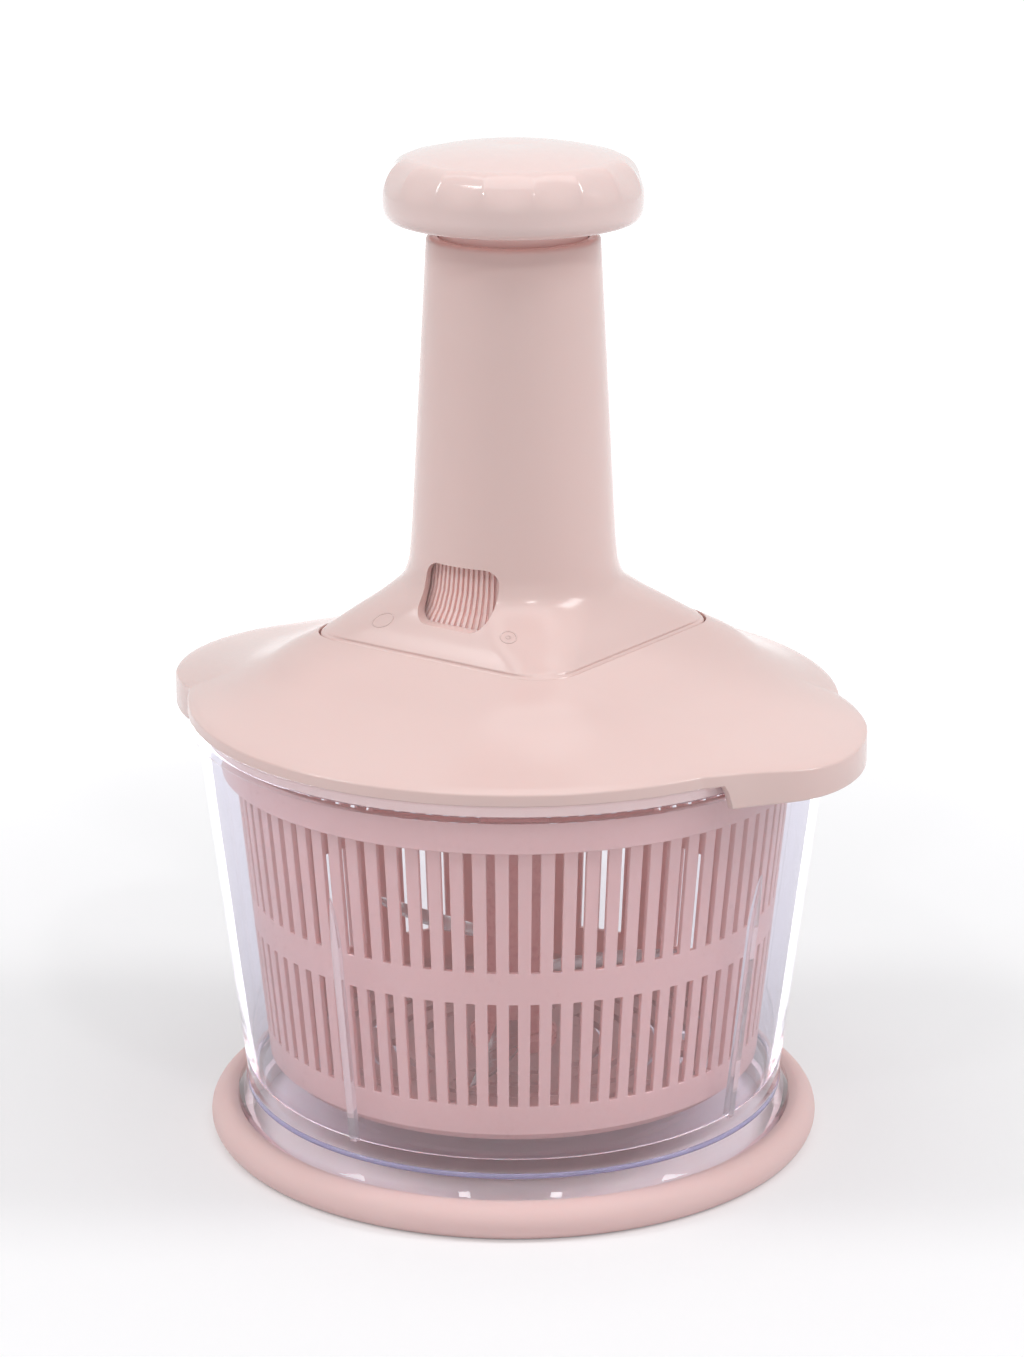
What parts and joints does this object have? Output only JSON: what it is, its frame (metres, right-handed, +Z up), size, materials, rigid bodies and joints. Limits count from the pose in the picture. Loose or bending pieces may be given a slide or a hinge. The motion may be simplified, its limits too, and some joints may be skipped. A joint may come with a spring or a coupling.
{
  "type": "plunger food chopper",
  "caption": "Hand-press food chopper and salad spinner: clear bowl, slotted spinning basket with blades, lid with a plunger drive and a sliding knob lock.",
  "frame": {"origin": "centre of the flat underside of the base ring, on the surface the chopper stands on", "axes": "+Z up along the axis of the bowl, drive and plunger; the lock slider faces -Y; the lid's two ears lie along +X and -X"},
  "size_m": [0.2326, 0.203, 0.3152],
  "materials": {
    "clear_plastic": "clear, glossy",
    "basket_plastic": "glossy",
    "pink_plastic": "satin gloss",
    "pink_plastic_deep": "satin gloss",
    "lock_plastic": "fine matt",
    "soft_ring": "matt silicone",
    "white_plastic": "satin",
    "steel": "satin"
  },
  "bodies": {
    "bowl_unit": {"bowl": "clear_plastic", "base_ring": "soft_ring", "pivot_pin": "steel"},
    "rotor": {"basket": "basket_plastic", "blade_column": "pink_plastic_deep", "blade_lower": "steel", "blade_middle": "steel", "blade_upper": "steel", "column_collar": "pink_plastic_deep"},
    "lid_unit": {"lid": "pink_plastic", "tower_housing": "pink_plastic", "drive_base": "white_plastic", "bearing_housing": "white_plastic", "bearing_bush": "white_plastic", "thrust_washer": "steel", "plate_screws": "steel", "bearing_screws": "steel", "return_spring": "steel"},
    "plunger": {"plunger_tube": "white_plastic", "drive_nut": "white_plastic", "knob_cap": "pink_plastic", "knob_base": "pink_plastic_deep", "knob_screws": "steel"},
    "screw": {"drive_screw": "white_plastic", "ratchet_disc": "white_plastic", "pawl_ring": "white_plastic", "retaining_clip": "steel"},
    "coupling": {"drive_coupling": "white_plastic"},
    "lock": {"lock_slider": "lock_plastic"}
  },
  "joints": [
    {"name": "basket_spin", "type": "hinge", "parent": "bowl_unit", "child": "rotor", "pos_m": [0, 0, 0.03], "axis": [0, 0, 1], "continuous": true},
    {"name": "lid_lift", "type": "slide", "parent": "bowl_unit", "child": "lid_unit", "axis": [0, 0, 1], "range_m": [0, 0.15]},
    {"name": "plunger_slide", "type": "slide", "parent": "lid_unit", "child": "plunger", "axis": [0, 0, 1], "range_m": [0, 0.056], "deforming": ["return_spring"]},
    {"name": "screw_spin", "type": "hinge", "parent": "lid_unit", "child": "screw", "pos_m": [0, 0, 0.16], "axis": [0, 0, 1], "range_deg": [-505, 0]},
    {"name": "coupling_spin", "type": "hinge", "parent": "lid_unit", "child": "coupling", "pos_m": [0, 0, 0.145], "axis": [0, 0, 1], "continuous": true},
    {"name": "lock_turn", "type": "hinge", "parent": "lid_unit", "child": "lock", "pos_m": [0, 0, 0.18], "axis": [0, 0, 1], "range_deg": [0, 12]}
  ],
  "couplings": [
    {"joint": "screw_spin", "follows": "plunger_slide", "rad_per_m": -157.08},
    {"joint": "coupling_spin", "follows": "basket_spin", "ratio": 1}
  ]
}
